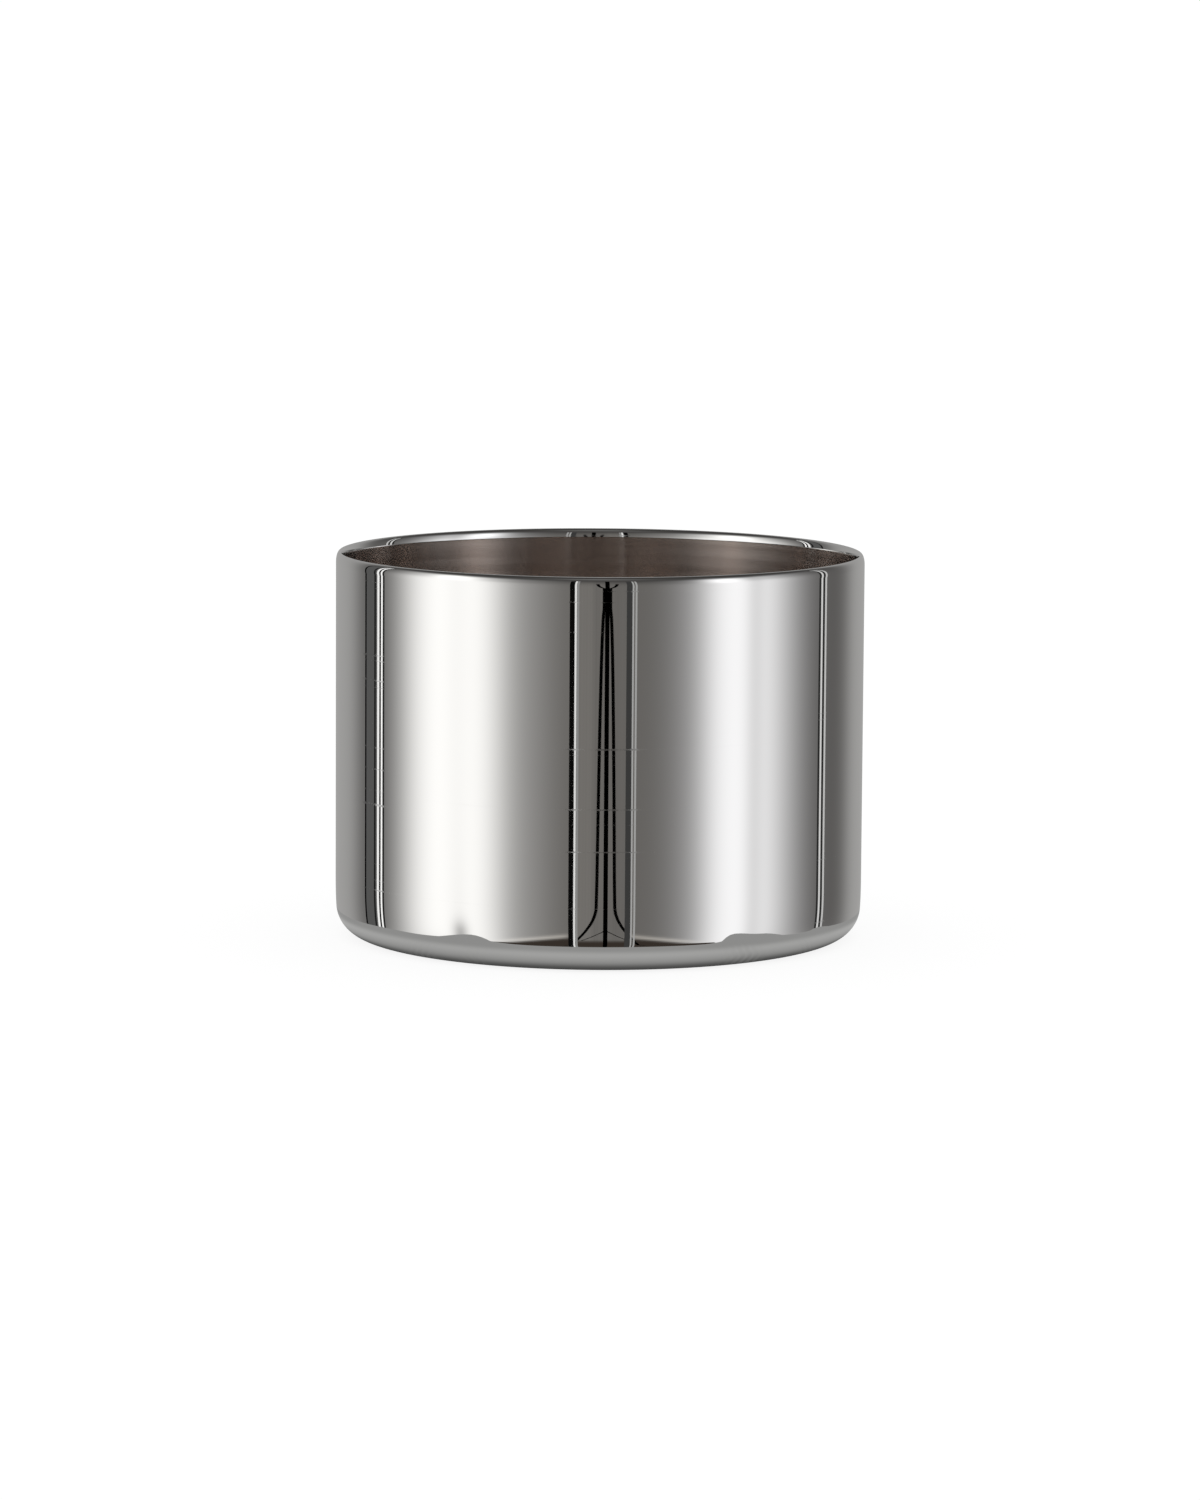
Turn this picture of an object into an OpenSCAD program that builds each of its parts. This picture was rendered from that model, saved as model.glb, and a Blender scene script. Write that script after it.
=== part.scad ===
// Candle tin: a straight round cup drawn from one metal sheet, plated bright
// outside, with its edge rolled inward and down at the rim. A thin lacquer coat lines
// the inside. Z = 0 is the resting face and Z is the axis of the cup.

/* [Cup] */
// Outside diameter of the straight wall
cup_d = 96; // [70:1:120]
// Height from the resting face to the crest of the rim
cup_h = 70; // [40:1:110]
// Thickness of the drawn sheet
sheet_t = 0.4; // [0.35:0.05:0.5]
// Outside radius of the corner between the wall and the base
corner_r = 5.7; // [3:0.1:10]

/* [Rolled rim] */
// Width of the roll, from the wall's outside to the mouth
roll_w = 1.35; // [1.25:0.05:2]
// Height of the roll's crest above the straight wall
roll_h = 1.9; // [1.6:0.1:2.5]
// Angle that the edge is rolled through; the rest of the half turn is left off
roll_sweep = 170; // [150:5:175]

/* [Base] */
// Width of the flat ring that the cup rests on
ring_w = 4; // [2:0.5:8]
// Width of the slope between that ring and the raised panel inside it
slope_w = 2; // [1:0.5:5]
// Height of the panel above the resting face
panel_rise = 0.6; // [0.2:0.1:1]

/* [Inner coat] */
// Thickness of the lacquer coat
coat_t = 0.1; // [0.08:0.01:0.15]
// Angle of the roll that the coat still lines, from the top of the wall
coat_sweep = 20; // [10:5:30]

/* [Hidden] */

// Segments of every round shape
$fn = 180;
// Steps along a curve of the roll
ROLL_STEPS = 48;

cup_r = cup_d / 2;
flat_r = cup_r - corner_r;
panel_foot_r = flat_r - ring_w;
panel_top_r = panel_foot_r - slope_w;

// The roll is most of the upper half of an ellipse with this centre
roll_a = roll_w / 2;
roll_x = cup_r - roll_a;
roll_z = cup_h - roll_h;

// Point on the roll, at an angle from its outermost point and a depth in the sheet
function roll_point(angle, depth) = [
    roll_x + (roll_a - depth) * cos(angle),
    roll_z + (roll_h - depth) * sin(angle)
];

// Outline of the roll, between two depths below its outer face
module roll_outline(low, high, sweep) {
    angles = [for (i = [0:ROLL_STEPS]) i * sweep / ROLL_STEPS];
    polygon(concat(
        [for (i = [0:ROLL_STEPS]) roll_point(angles[i], low)],
        [for (i = [ROLL_STEPS:-1:0]) roll_point(angles[i], high)]
    ));
}

// Outline of the base, between two depths below the outer face
module base_outline(low, high) {
    polygon([
        [0, panel_rise + low],
        [panel_top_r, panel_rise + low],
        [panel_foot_r, low],
        [flat_r, low],
        [flat_r, high],
        [panel_foot_r, high],
        [panel_top_r, panel_rise + high],
        [0, panel_rise + high]
    ]);
}

// Outline of the corner, a quarter of a ring
module corner_outline(low, high) {
    translate([flat_r, corner_r])
        intersection() {
            difference() {
                circle(corner_r - low);
                circle(corner_r - high);
            }
            translate([0, -corner_r])
                square(corner_r);
        }
}

// Outline of the cup between two depths below its outer face, up to an angle of the roll
module cup_outline(low, high, sweep) {
    base_outline(low, high);
    corner_outline(low, high);
    translate([cup_r - high, corner_r])
        square([high - low, roll_z - corner_r]);
    roll_outline(low, high, sweep);
}

module drawn_cup() {
    color("silver")
        rotate_extrude()
            cup_outline(0, sheet_t, roll_sweep);
}

module inner_coat() {
    color("dimgray")
        rotate_extrude()
            cup_outline(sheet_t, sheet_t + coat_t, coat_sweep);
}

drawn_cup();
inner_coat();
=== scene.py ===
"""Looks of the candle tin: a bright plated cup, drawn from one sheet, with a rolled rim and a
brown lacquer inside.

Lengths are in metres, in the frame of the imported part. In the studio round the cup, azimuths
are degrees from the camera's side, -Y, positive towards +X, and elevations are degrees above
the horizon.
"""
import math

import bpy
from mathutils import Matrix, Vector


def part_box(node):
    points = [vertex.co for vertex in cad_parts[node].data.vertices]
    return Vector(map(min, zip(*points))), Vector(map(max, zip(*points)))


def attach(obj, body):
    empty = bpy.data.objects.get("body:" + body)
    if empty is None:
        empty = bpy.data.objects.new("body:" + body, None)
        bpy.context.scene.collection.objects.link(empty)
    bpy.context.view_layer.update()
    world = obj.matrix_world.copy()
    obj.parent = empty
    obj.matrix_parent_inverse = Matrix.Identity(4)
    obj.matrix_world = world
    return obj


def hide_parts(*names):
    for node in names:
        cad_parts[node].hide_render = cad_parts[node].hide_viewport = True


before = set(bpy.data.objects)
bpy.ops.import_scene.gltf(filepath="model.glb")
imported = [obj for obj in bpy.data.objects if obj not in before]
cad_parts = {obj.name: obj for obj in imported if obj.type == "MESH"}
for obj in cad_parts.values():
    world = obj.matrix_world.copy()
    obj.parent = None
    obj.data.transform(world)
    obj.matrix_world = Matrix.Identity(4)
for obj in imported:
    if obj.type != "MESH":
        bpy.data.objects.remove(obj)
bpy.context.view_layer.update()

MM = 0.001
MICRON = 0.000001

# ------------------------------------------------------------------ sizes
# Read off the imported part
CUP_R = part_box("drawn_cup")[1].y
CUP_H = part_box("drawn_cup")[1].z
SHEET_T = CUP_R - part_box("inner_coat")[1].y

# Design sizes of the part
CORNER_R = 5.7 * MM
ROLL_W = 1.35 * MM
ROLL_H = 1.9 * MM
ROLL_SWEEP = math.radians(170)
RING_W = 4 * MM
SLOPE_W = 2 * MM
PANEL_RISE = 0.6 * MM
COAT_T = 0.1 * MM
COAT_SWEEP = math.radians(20)

# The wall begins to lean in at this height, and meets the corner at this lean
FOOT_TOP = 12 * MM
FOOT_LEAN = math.radians(3.5)

FLAT_R = CUP_R - CORNER_R
PANEL_TOP_R = FLAT_R - RING_W - SLOPE_W
ROLL_A = ROLL_W / 2
ROLL_X = CUP_R - ROLL_A
ROLL_Z = CUP_H - ROLL_H

# ------------------------------------------------------------------ outline of the sheet
# A stretch of outline is a list of (radius, height, (normal's radius, normal's height)).
PANEL_STEPS = 8
SLOPE_STEPS = 12
CORNER_STEPS = 24
FOOT_STEPS = 12
WALL_STEPS = 6
ROLL_STEPS = 60
COAT_ROLL_STEPS = 8


def unit(x, y):
    """The direction of a vector in the outline's plane."""
    length = math.hypot(x, y)
    return (x / length, y / length)


def base_outline():
    """Underside: raised panel, smooth slope and flat resting ring."""
    path = [(PANEL_TOP_R * i / PANEL_STEPS, PANEL_RISE, (0, -1)) for i in range(PANEL_STEPS)]
    for i in range(SLOPE_STEPS + 1):
        turn = math.pi * i / SLOPE_STEPS
        z = PANEL_RISE * (1 + math.cos(turn)) / 2
        fall = -PANEL_RISE * math.pi * math.sin(turn) / (2 * SLOPE_W)
        path.append((PANEL_TOP_R + SLOPE_W * i / SLOPE_STEPS, z, unit(fall, -1)))
    return path


def corner_outline():
    """Rounded corner, then the foot of the wall, where the lean dies away."""
    slope = math.tan(FOOT_LEAN)
    reach = CORNER_R - slope * FOOT_TOP / 3
    radius = reach / (math.cos(FOOT_LEAN) - slope * (1 - math.sin(FOOT_LEAN)) / 3)
    path = []
    for i in range(CORNER_STEPS + 1):
        angle = -math.pi / 2 + (math.pi / 2 - FOOT_LEAN) * i / CORNER_STEPS
        normal = (math.cos(angle), math.sin(angle))
        path.append((FLAT_R + radius * normal[0], radius * (1 + normal[1]), normal))
    foot_h = FOOT_TOP - path[-1][1]
    for i in range(1, FOOT_STEPS + 1):
        left = 1 - i / FOOT_STEPS
        r = CUP_R - slope * foot_h * left**3 / 3
        path.append((r, FOOT_TOP - foot_h * left, unit(1, -slope * left**2)))
    return path


def wall_outline():
    """Straight wall, from the foot up to the roll."""
    rise = (ROLL_Z - FOOT_TOP) / WALL_STEPS
    return [(CUP_R, FOOT_TOP + rise * i, (1, 0)) for i in range(1, WALL_STEPS + 1)]


def roll_outline(depth, sweep, steps):
    """Rolled edge at a depth below its outer face, from the wall up through an angle."""
    path = []
    wide, tall = ROLL_A - depth, ROLL_H - depth
    for i in range(1, steps + 1):
        c, s = math.cos(sweep * i / steps), math.sin(sweep * i / steps)
        path.append((ROLL_X + wide * c, ROLL_Z + tall * s, unit(c / wide, s / tall)))
    return path


def sheet_outline(depth, sweep, steps):
    """Whole outline of the sheet at a depth, from the axis up to an angle of the roll."""
    to_roll = base_outline() + corner_outline() + wall_outline()
    sunk = [(r - depth * nr, z - depth * nz, (nr, nz)) for r, z, (nr, nz) in to_roll]
    return sunk + roll_outline(depth, sweep, steps)


def facing_in(path):
    """The same stretch run backwards and seen from its other side."""
    return [(r, z, (-nr, -nz)) for r, z, (nr, nz) in reversed(path)]


def step_between(start, end):
    """The narrow face that joins the last point of one stretch to the first of the next."""
    (r0, z0, _), (r1, z1, _) = start[-1], end[0]
    normal = unit(z1 - z0, r0 - r1)
    return [(r0, z0, normal), (r1, z1, normal)]


# ------------------------------------------------------------------ turned meshes
TURN_STEPS = 288
SAME_PLACE = 1e-9


def turned(name, *stretches):
    """A closed skin turned round Z from an outline that starts and ends on the axis. It
    shades smooth along each stretch and has an edge where one stretch meets the next."""
    outline, bands = [], []
    for stretch in stretches:
        last = None
        for r, z, normal in stretch:
            if not outline or math.dist(outline[-1], (r, z)) > SAME_PLACE:
                outline.append((r, z))
            here = (len(outline) - 1, normal)
            if last is not None:
                bands.append((last, here))
            last = here
    angles = [2 * math.pi * j / TURN_STEPS for j in range(TURN_STEPS)]
    around = [(math.cos(angle), math.sin(angle)) for angle in angles]
    verts, rings = [], []
    for r, z in outline:
        first = len(verts)
        if r < SAME_PLACE:
            rings.append([first] * TURN_STEPS)
            verts.append((0, 0, z))
        else:
            rings.append([first + j for j in range(TURN_STEPS)])
            verts += [(r * c, r * s, z) for c, s in around]
    faces, normals = [], []
    for (low, low_normal), (high, high_normal) in bands:
        for j in range(TURN_STEPS):
            k = (j + 1) % TURN_STEPS
            ends = [(low, j, low_normal), (low, k, low_normal)]
            ends += [(high, k, high_normal), (high, j, high_normal)]
            if rings[low][j] == rings[low][k]:
                del ends[1]
            elif rings[high][j] == rings[high][k]:
                del ends[2]
            faces.append([rings[at][turn] for at, turn, _ in ends])
            for _, turn, (nr, nz) in ends:
                normals.append((nr * around[turn][0], nr * around[turn][1], nz))
    mesh = bpy.data.meshes.new(name)
    mesh.from_pydata(verts, [], faces)
    mesh.shade_smooth()
    mesh.normals_split_custom_set(normals)
    piece = bpy.data.objects.new(name, mesh)
    bpy.context.scene.collection.objects.link(piece)
    return piece


def make_cup():
    """The drawn sheet: outer face, cut edge of the roll and inner face."""
    outer = sheet_outline(0, ROLL_SWEEP, ROLL_STEPS)
    inner = facing_in(sheet_outline(SHEET_T, ROLL_SWEEP, ROLL_STEPS))
    return turned("plated_cup", outer, step_between(outer, inner), inner)


def make_coat():
    """The lacquer: the face that lies on the sheet, its top edge and its open face."""
    on_sheet = sheet_outline(SHEET_T, COAT_SWEEP, COAT_ROLL_STEPS)
    open_face = facing_in(sheet_outline(SHEET_T + COAT_T, COAT_SWEEP, COAT_ROLL_STEPS))
    return turned("lacquer_coat", on_sheet, step_between(on_sheet, open_face), open_face)


# ------------------------------------------------------------------ materials
def new_material(name):
    """A material with nodes, and its Principled shader."""
    material = bpy.data.materials.new(name)
    material.use_nodes = True
    return material, material.node_tree.nodes["Principled BSDF"]


def streaks(tree, scale, stretch, detail=3):
    """Noise of so many cells to a metre, which stretch makes finer or coarser along X, Y, Z."""
    nodes, links = tree.nodes, tree.links
    place = nodes.new("ShaderNodeTexCoord")
    mapping = nodes.new("ShaderNodeMapping")
    mapping.inputs["Scale"].default_value = stretch
    noise = nodes.new("ShaderNodeTexNoise")
    noise.inputs["Scale"].default_value = scale
    noise.inputs["Detail"].default_value = detail
    links.new(place.outputs["Object"], mapping.inputs["Vector"])
    links.new(mapping.outputs["Vector"], noise.inputs["Vector"])
    return noise.outputs["Fac"]


def remap(tree, value, low, high, to_low, to_high):
    """Value taken from low..high to to_low..to_high, held at the ends."""
    node = tree.nodes.new("ShaderNodeMapRange")
    node.inputs["From Min"].default_value = low
    node.inputs["From Max"].default_value = high
    node.inputs["To Min"].default_value = to_low
    node.inputs["To Max"].default_value = to_high
    tree.links.new(value, node.inputs["Value"])
    return node.outputs["Result"]


def add(tree, a, b):
    """The sum of two values."""
    node = tree.nodes.new("ShaderNodeMath")
    tree.links.new(a, node.inputs[0])
    tree.links.new(b, node.inputs[1])
    return node.outputs["Value"]


def bump(tree, height, distance):
    """A bump of that height in metres."""
    node = tree.nodes.new("ShaderNodeBump")
    node.inputs["Distance"].default_value = distance
    tree.links.new(height, node.inputs["Height"])
    return node.outputs["Normal"]


def plated_material():
    """Bright plate: nearly a mirror, with draw lines down the wall, a few fine lines rubbed
    round it and slight waves."""
    material, shader = new_material("plated_sheet")
    tree = material.node_tree
    shader.inputs["Base Color"].default_value = (0.79, 0.788, 0.782, 1)
    shader.inputs["Metallic"].default_value = 1
    draw_lines = streaks(tree, 900, (1, 1, 0.02))
    rubs = streaks(tree, 30, (0.35, 0.35, 45), detail=1)
    roughness = add(
        tree,
        remap(tree, draw_lines, 0.45, 0.75, 0.012, 0.03),
        remap(tree, rubs, 0.68, 0.78, 0, 0.1),
    )
    tree.links.new(roughness, shader.inputs["Roughness"])
    waves = streaks(tree, 60, (1, 1, 0.3), detail=1)
    tree.links.new(bump(tree, waves, 4 * MICRON), shader.inputs["Normal"])
    return material


def lacquer_material():
    """Brown lacquer over the turned inside: its fine rings smear a reflection up and down."""
    material, shader = new_material("inside_lacquer")
    tree = material.node_tree
    shader.inputs["Base Color"].default_value = (0.72, 0.635, 0.585, 1)
    shader.inputs["Metallic"].default_value = 1
    shader.inputs["Anisotropic"].default_value = 1
    shader.inputs["Anisotropic Rotation"].default_value = 0.25
    tangent = tree.nodes.new("ShaderNodeTangent")
    tangent.direction_type = "RADIAL"
    tangent.axis = "Z"
    tree.links.new(tangent.outputs["Tangent"], shader.inputs["Tangent"])
    rings = streaks(tree, 700, (0.02, 0.02, 1))
    tree.links.new(remap(tree, rings, 0.3, 0.7, 0.15, 0.2), shader.inputs["Roughness"])
    tree.links.new(bump(tree, rings, 1 * MICRON), shader.inputs["Normal"])
    return material


def dress(piece, node, material):
    """A piece in its material, standing for its CAD node."""
    piece.data.materials.append(material)
    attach(piece, "root")
    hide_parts(node)


dress(make_cup(), "drawn_cup", plated_material())
dress(make_coat(), "inner_coat", lacquer_material())

# ------------------------------------------------------------------ studio
# The camera sees a white floor and white air. What the bright metal mirrors instead is a
# dome with two lit cloths, the frames and the stand between them, and a small table top.
PLATE = 0.79  # share of light that the plate gives back, so mirrored things are brighter by that
CENTRE = Vector((0, 0, CUP_H / 2))
DOME_R = 3.0
DOME_COLUMNS = 720
DOME_ROWS = 360

WARM = (1, 0.995, 0.98)
COOL = (0.985, 0.985, 1)
OLIVE = (1, 0.94, 0.85)
BROWN = (1, 0.96, 0.93)
UMBER = (1, 0.78, 0.64)
GREY = (1, 1, 0.99)
BLACK = (0, 0, 0)


def direction(azimuth, elevation):
    """The unit vector from the cup towards a place in the studio."""
    a, e = math.radians(azimuth), math.radians(elevation)
    return Vector((math.sin(a) * math.cos(e), -math.cos(a) * math.cos(e), math.sin(e)))


def above(x, edge, fade):
    """0 well below the edge, 1 well above it, with a soft change between."""
    return 1 / (1 + math.exp(-max(-60, min(60, (x - edge) / fade))))


def below(x, edge, fade):
    """1 well below the edge, 0 well above it."""
    return above(edge, x, fade)


def bell(x, middle, width):
    """1 at the middle, dying away over the width."""
    return math.exp(-(((x - middle) / width) ** 2))


def tint(color, level):
    """A colour at a level of light."""
    return [level * c for c in color]


def stage_object(name, mesh, material):
    """A mesh of the studio, which isn't part of the object."""
    material.cycles.emission_sampling = "NONE"
    mesh.materials.append(material)
    thing = bpy.data.objects.new(name, mesh)
    bpy.context.scene.collection.objects.link(thing)
    return thing


def mirrored_mesh(name, verts, faces, light):
    """A mesh that only mirrors see, which gives off the light named for each vertex."""
    mesh = bpy.data.meshes.new(name)
    mesh.from_pydata(verts, [], faces)
    material, shader = new_material(name)
    shader.inputs["Base Color"].default_value = (0, 0, 0, 1)
    shader.inputs["Specular IOR Level"].default_value = 0
    shader.inputs["Emission Strength"].default_value = 1 / PLATE
    colors = mesh.color_attributes.new("light", "FLOAT_COLOR", "POINT")
    colors.data.foreach_set("color", [c for rgb in light for c in (*rgb, 1)])
    source = material.node_tree.nodes.new("ShaderNodeAttribute")
    source.attribute_name = "light"
    material.node_tree.links.new(source.outputs["Color"], shader.inputs["Emission Color"])
    thing = stage_object(name, mesh, material)
    thing.visible_camera = False
    thing.visible_diffuse = False
    thing.visible_shadow = False


# ------------------------------------------------------------------ dome
# Each cloth has a level of light, ends with their (azimuth, fade), light that spills past its
# inner end and a darker fold as (level, azimuth, width), and a patch as (azimuth, width) that
# stays bright at the top.
LEFT_CLOTH = {
    "level": 1.02,
    "start": (-90.4, 6.9),
    "end": (-43.2, 5.7),
    "spill": (0.08, -29, 12),
    "fold": (0.10, -64, 7.5),
    "top_patch": (-66, 11),
}
RIGHT_CLOTH = {
    "level": 0.96,
    "start": (46.8, 4.8),
    "end": (84.9, 8.5),
    "spill": (0.085, 38, 13),
    "fold": (0.18, 70, 5.1),
    "top_patch": (54, 11),
}
# The cloths are dimmer above the first elevation and end at the second
CLOTH_DIM_FROM = 9
CLOTH_TOP = 27
# The dark ceiling begins at this elevation
CEILING_FROM = 18
# Between the cloths, within this azimuth, everything hangs down to this elevation
GAP_SIDE = 11
GAP_HEM = -14.9
# Levels of light
ROOM_LEVEL = 0.045
ROOM_LOW_LEVEL = 0.035
FLOOR_LEVEL = 0.035
GROUND_LEVEL = 0.26
BACK_LEVEL = 0.23
LAMP_LEVEL = 0.1
HEM_LEVEL = 0.22
CURTAIN_LEVEL = 0.055


def cloth_light(cloth, azimuth, elevation):
    """Light from a cloth, without its hem."""
    spill_level, *spill = cloth["spill"]
    fold_level, *fold = cloth["fold"]
    light = cloth["level"] * above(azimuth, *cloth["start"]) * below(azimuth, *cloth["end"])
    light += spill_level * bell(azimuth, *spill) - fold_level * bell(azimuth, *fold)
    dim = above(elevation, CLOTH_DIM_FROM, 2)
    return light * (1 - 0.35 * dim + 0.75 * dim * bell(azimuth, *cloth["top_patch"]))


def crease(azimuth, elevation):
    """Share of light that the left cloth loses in a crease at its foot."""
    return 0.6 * bell(azimuth, -62, 4) * below(elevation, -11.2, 0.8)


def curtain_light(azimuth):
    """Light from the curtain between the cloths, with one lighter stretch and fine folds."""
    folds = 0.012 * math.sin(3.1 * azimuth) * math.sin(1.7 * azimuth + 1) * bell(azimuth, 0, 9)
    return CURTAIN_LEVEL * below(abs(azimuth), 28, 8) + 0.03 * bell(azimuth, -6, 4) + folds


def hem_elevation(side):
    """Elevation that everything hangs down to: it drops outwards from the gap's sides."""
    if side <= GAP_SIDE:
        return GAP_HEM
    return -13.1 - 0.07 * side - 1.5 * max(0, side - 52)


def ground_share(side, elevation):
    """1 on the pale ground round the set, which comes up higher at the sides and behind."""
    top = -26 + 10 * above(side, 62, 3)
    return below(elevation, top, 1.2)


def back_share(azimuth):
    """1 on the lit back of the room, which starts nearer on the left."""
    return above(abs(azimuth), 129.5 if azimuth < 0 else 136, 5)


def dome_light(azimuth, elevation):
    """Light from the dome, as it looks in the plate."""
    side = abs(azimuth)
    hem = hem_elevation(side)
    hanging = above(elevation, hem, 0.15)
    ground = ground_share(side, elevation)
    under_ceiling = below(elevation, CEILING_FROM, 6)
    lit = below(elevation, CLOTH_TOP, 3) * hanging * (1 - 0.6 * ground)
    left = cloth_light(LEFT_CLOTH, azimuth, elevation) * (1 - crease(azimuth, elevation))
    right = cloth_light(RIGHT_CLOTH, azimuth, elevation)
    lit_hem = bell(elevation, hem + 0.6, 0.55) * above(side, 13, 1) * below(side, 42, 3)
    lamp = bell(azimuth, 0, 24) * bell(elevation, 44, 7)
    parts = [
        tint(WARM, left * lit),
        tint(COOL, right * lit),
        tint(BROWN, (ROOM_LEVEL + ROOM_LOW_LEVEL * under_ceiling) * hanging),
        tint(UMBER, FLOOR_LEVEL * (1 - hanging)),
        tint(GREY, BACK_LEVEL * back_share(azimuth) * (1 - ground) + LAMP_LEVEL * lamp),
        tint(GREY, GROUND_LEVEL * ground),
        tint(OLIVE, (curtain_light(azimuth) * under_ceiling + HEM_LEVEL * lit_hem) * hanging),
    ]
    return [sum(part[i] for part in parts) for i in range(3)]


def make_dome():
    """The dome, as a sphere of rows and columns."""
    verts, faces, light = [], [], []
    for i in range(DOME_ROWS + 1):
        elevation = 180 * i / DOME_ROWS - 90
        for j in range(DOME_COLUMNS):
            azimuth = 360 * j / DOME_COLUMNS - 180
            verts.append(CENTRE + DOME_R * direction(azimuth, elevation))
            light.append(dome_light(azimuth, elevation))
    for i in range(DOME_ROWS):
        for j in range(DOME_COLUMNS):
            k = (j + 1) % DOME_COLUMNS
            low, high = i * DOME_COLUMNS, (i + 1) * DOME_COLUMNS
            faces.append((low + j, low + k, high + k, high + j))
    mirrored_mesh("studio_dome", verts, faces, light)


# ------------------------------------------------------------------ frames and stand
UPRIGHT_LOW = -40
UPRIGHT_HIGH = 26
UPRIGHT_STEPS = 12

# Uprights that hold the cloths and the dark gaps between them, as
# (name, azimuth, width in degrees, level of light)
FRAMES = (
    ("frame_left", -11.7, 2.1, 0.003),
    ("frame_left_rim", -10.2, 0.8, 0.7),
    ("frame_left_edge", -9.2, 0.9, 0.24),
    ("frame_right_gap", 12.5, 2.4, 0.04),
    ("frame_right_rim_1", 14.1, 0.7, 0.36),
    ("frame_right_rim_2", 15.4, 0.8, 0.34),
    ("far_left_gap", -117.5, 9.5, 0.085),
    ("far_left_line_1", -121.8, 1.3, 0.0),
    ("far_left_line_2", -113.9, 1.3, 0.01),
    ("far_left_rim_1", -111.3, 1.6, 0.85),
    ("far_left_line_3", -109.9, 0.9, 0.0),
    ("far_left_rim_2", -108.6, 1.1, 0.95),
    ("far_left_line_4", -107.2, 1.1, 0.01),
    ("far_right_line_1", 110.0, 1.3, 0.02),
    ("far_right_rim_1", 111.6, 1.3, 0.6),
    ("far_right_line_2", 113.1, 1.2, 0.02),
    ("far_right_rim_2", 114.7, 1.4, 0.5),
)
# Distance in front of the dome, and how much nearer each next upright is, so that none meet
STRIP_NEARER = 0.05
STRIP_STEP = 0.01

STAND_AT = 3.1
COLUMN_W = 1.9
LEG_W = 1.4
BRACE_W = 0.7
# From the column to a leg where they are nearest
LEG_GAP = 1.3
# A leg curls out above the first elevation, spreads below the second and splays below the third
LEG_CURL_FROM = -5
LEG_SPREAD_FROM = -5.25
LEG_SPLAY_FROM = -8.9
# A brace runs out from the column by this azimuth, between these elevations
BRACE_REACH = 10.3
BRACE_TOP = -11.8
BRACE_LOW = -14.8


def make_strip(name, route, width, color, nearer=STRIP_NEARER):
    """A thin upright strip in front of the dome, along a route of (azimuth, elevation)."""
    verts, faces = [], []
    for azimuth, elevation in route:
        for side in (-width / 2, width / 2):
            verts.append(CENTRE + (DOME_R - nearer) * direction(azimuth + side, elevation))
    for i in range(len(route) - 1):
        faces.append((2 * i, 2 * i + 1, 2 * i + 3, 2 * i + 2))
    mirrored_mesh(name, verts, faces, [color] * len(verts))


def upright(azimuth):
    """The route of a straight upright."""
    rise = (UPRIGHT_HIGH - UPRIGHT_LOW) / UPRIGHT_STEPS
    return [(azimuth, UPRIGHT_LOW + rise * i) for i in range(UPRIGHT_STEPS + 1)]


def make_frames():
    """The uprights, each a little nearer than the one before."""
    for order, (name, azimuth, width, level) in enumerate(FRAMES):
        nearer = STRIP_NEARER + STRIP_STEP * order
        make_strip(name, upright(azimuth), width, tint(GREY, level), nearer)


def leg_offset(elevation):
    """How far a leg of the stand is from its column."""
    curl = 3 * (1 - math.exp(-max(0, elevation - LEG_CURL_FROM) / 6))
    spread = 1.3 * math.sqrt(max(0, LEG_SPREAD_FROM - elevation))
    splay = 1.2 * max(0, LEG_SPLAY_FROM - elevation)
    return LEG_GAP + curl + spread + splay


def make_stand():
    """A stand in the gap between the cloths, whose legs spread downwards."""
    make_strip("stand_column", upright(STAND_AT), COLUMN_W, BLACK)
    heights = [12 - 0.5 * i for i in range(32)]
    heights += [-4 - 0.05 * i for i in range(60)]
    heights += [-7 - 0.4 * i for i in range(30)]
    for name, side in (("left", -1), ("right", 1)):
        route = [(STAND_AT + side * leg_offset(elevation), elevation) for elevation in heights]
        make_strip(f"stand_leg_{name}", route, LEG_W, BLACK)
        brace = [(STAND_AT, BRACE_TOP), (STAND_AT + side * BRACE_REACH, BRACE_LOW)]
        make_strip(f"stand_brace_{name}", brace, BRACE_W, BLACK)


# ------------------------------------------------------------------ table top
TABLE_R = 59 * MM
TABLE_RINGS = 120
TABLE_COLUMNS = 180
# The edge isn't quite round: it bulges by these (length, azimuth, width)
TABLE_BULGES = (
    (12 * MM, -38, 10),
    (4 * MM, -65, 14),
    (14 * MM, 42, 7.5),
    (8 * MM, 53, 6),
    (6 * MM, 74, 9),
)
# The cup shades the table out to the first radius, and the table is brightest at the second
SHADE_R = FLAT_R + 3.2 * MM
BRIGHT_R = 49.5 * MM
# Levels of light
TABLE_SHADED = 0.05
TABLE_OPEN = 0.21
TABLE_BRIGHT = 0.09


def table_reach(azimuth):
    """How far the table top reaches from the cup's axis."""
    bulge = sum(length * bell(azimuth, middle, width) for length, middle, width in TABLE_BULGES)
    return TABLE_R + bulge


def table_light(radius):
    """Dark where the cup rests, lightest a little way out."""
    open_light = TABLE_OPEN + TABLE_BRIGHT * bell(radius, BRIGHT_R, 2.5 * MM)
    return tint(GREY, TABLE_SHADED + above(radius, SHADE_R, 0.5 * MM) * open_light)


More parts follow.
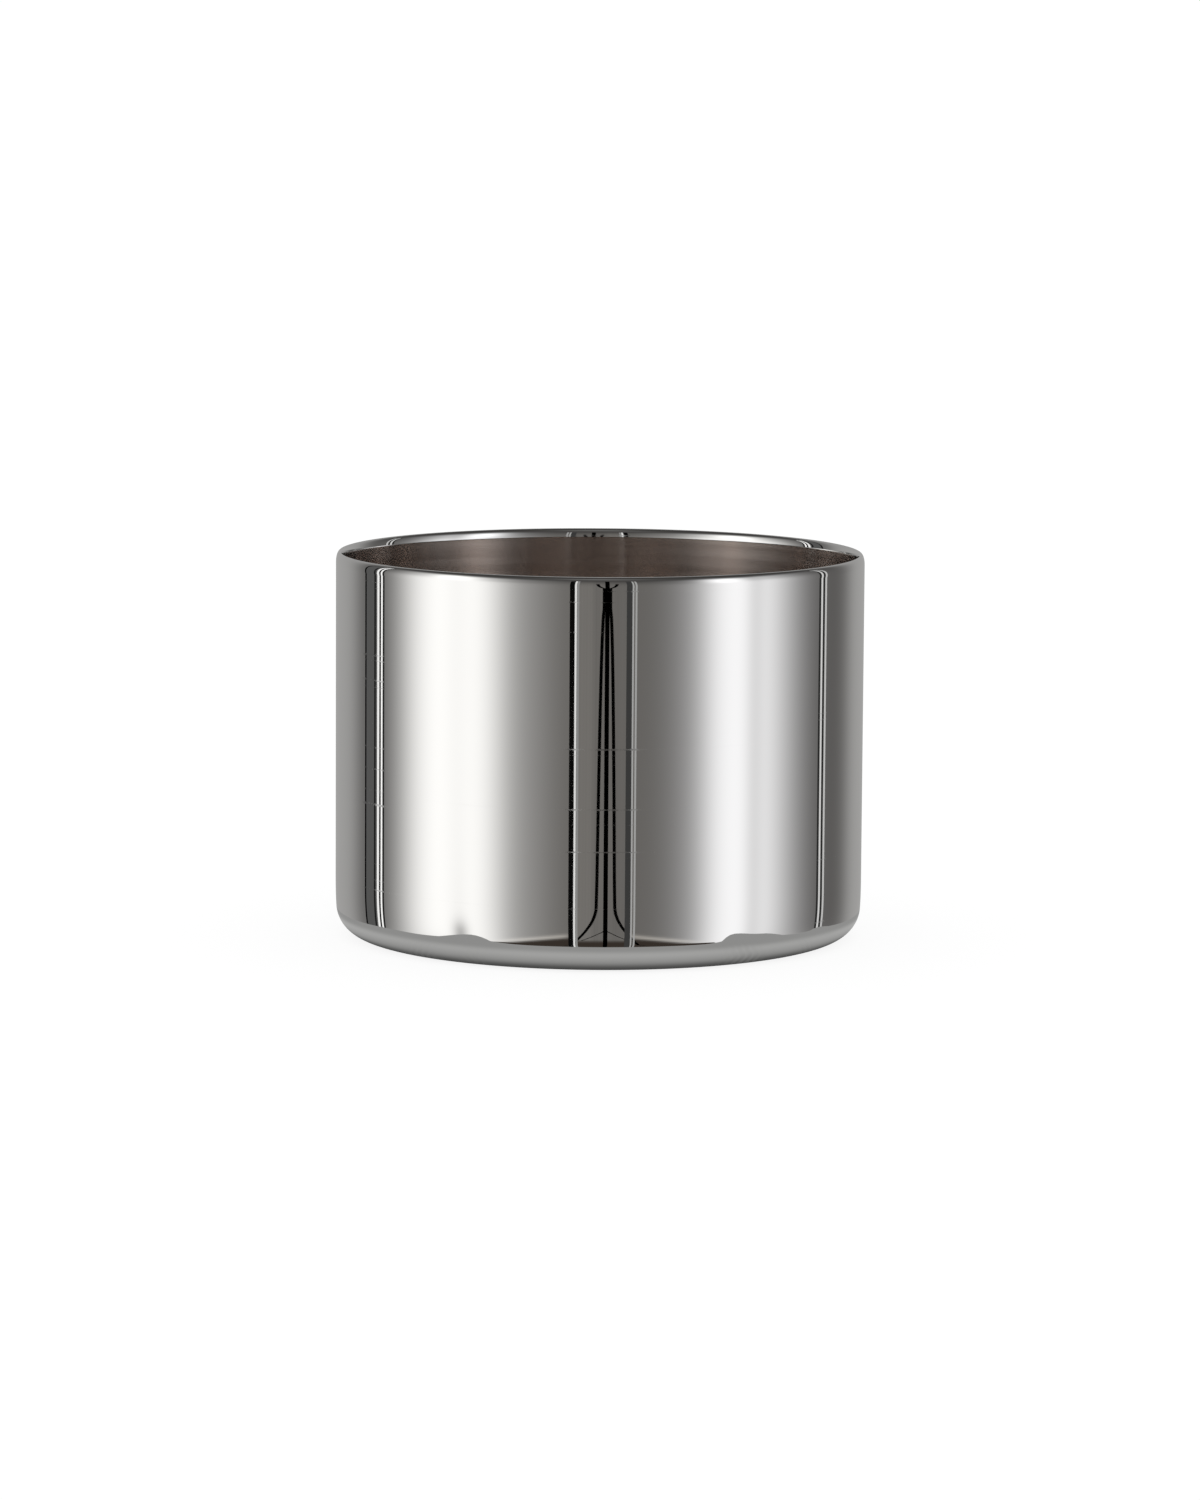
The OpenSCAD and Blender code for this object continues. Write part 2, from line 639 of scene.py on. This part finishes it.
def make_table_top():
    """The table top round the cup, as rings round its middle."""
    verts, faces, light = [(0, 0, 0)], [], [table_light(0)]
    for i in range(1, TABLE_RINGS + 1):
        for j in range(TABLE_COLUMNS):
            azimuth = 360 * j / TABLE_COLUMNS - 180
            radius = table_reach(azimuth) * i / TABLE_RINGS
            verts.append(radius * direction(azimuth, 0))
            light.append(table_light(radius))
    for j in range(TABLE_COLUMNS):
        k = (j + 1) % TABLE_COLUMNS
        faces.append((0, 1 + j, 1 + k))
        for i in range(TABLE_RINGS - 1):
            low, high = 1 + i * TABLE_COLUMNS, 1 + (i + 1) * TABLE_COLUMNS
            faces.append((low + j, high + j, high + k, low + k))
    mirrored_mesh("table_top", verts, faces, light)


# ------------------------------------------------------------------ floor and air
FLOOR_HALF = 20.0
FLOOR_GLOW = 0.87
AIR_LEVEL = 1.02


def make_floor():
    """White floor that mirrors don't see, with a light shadow under the cup."""
    corners = [(-1, -1), (1, -1), (1, 1), (-1, 1)]
    mesh = bpy.data.meshes.new("floor")
    mesh.from_pydata([(FLOOR_HALF * x, FLOOR_HALF * y, 0) for x, y in corners], [], [(0, 1, 2, 3)])
    material, shader = new_material("floor")
    shader.inputs["Base Color"].default_value = (0.15, 0.15, 0.15, 1)
    shader.inputs["Roughness"].default_value = 1
    shader.inputs["Specular IOR Level"].default_value = 0
    shader.inputs["Emission Color"].default_value = (1, 1, 1, 1)
    shader.inputs["Emission Strength"].default_value = FLOOR_GLOW
    floor = stage_object("floor", mesh, material)
    floor.visible_glossy = False


def make_air():
    """Even white light from all round."""
    world = bpy.data.worlds.new("white_air")
    world.use_nodes = True
    background = world.node_tree.nodes["Background"]
    background.inputs["Color"].default_value = (1, 1, 1, 1)
    background.inputs["Strength"].default_value = AIR_LEVEL
    bpy.context.scene.world = world


# ------------------------------------------------------------------ camera
CAMERA_DISTANCE = 1134 * MM
CAMERA_ELEVATION = 7.145
CAMERA_ROLL = 0.0064  # radians
CAMERA_LENS = 149.24  # millimetres, on a 36 mm sensor
AIM_BELOW = 1.31 * MM
AIM_RIGHT = 0.156 * MM


def make_camera():
    """The camera at the photograph's angle, a long way off, with a long lens."""
    place = CENTRE + CAMERA_DISTANCE * direction(0, CAMERA_ELEVATION)
    aim = CENTRE + Vector((AIM_RIGHT, 0, -AIM_BELOW))
    back = (place - aim).normalized()
    right = Vector((0, 0, 1)).cross(back).normalized()
    up = back.cross(right)
    up, right = (
        up * math.cos(CAMERA_ROLL) - right * math.sin(CAMERA_ROLL),
        right * math.cos(CAMERA_ROLL) + up * math.sin(CAMERA_ROLL),
    )
    data = bpy.data.cameras.new("camera")
    data.lens = CAMERA_LENS
    data.clip_end = 100
    camera = bpy.data.objects.new("camera", data)
    camera.matrix_world = Matrix.Translation(place) @ Matrix((right, up, back)).transposed().to_4x4()
    bpy.context.scene.collection.objects.link(camera)
    bpy.context.scene.camera = camera


make_dome()
make_frames()
make_stand()
make_table_top()
make_floor()
make_air()
make_camera()
bpy.context.scene.view_settings.view_transform = "Standard"
bpy.context.scene.view_settings.look = "None"
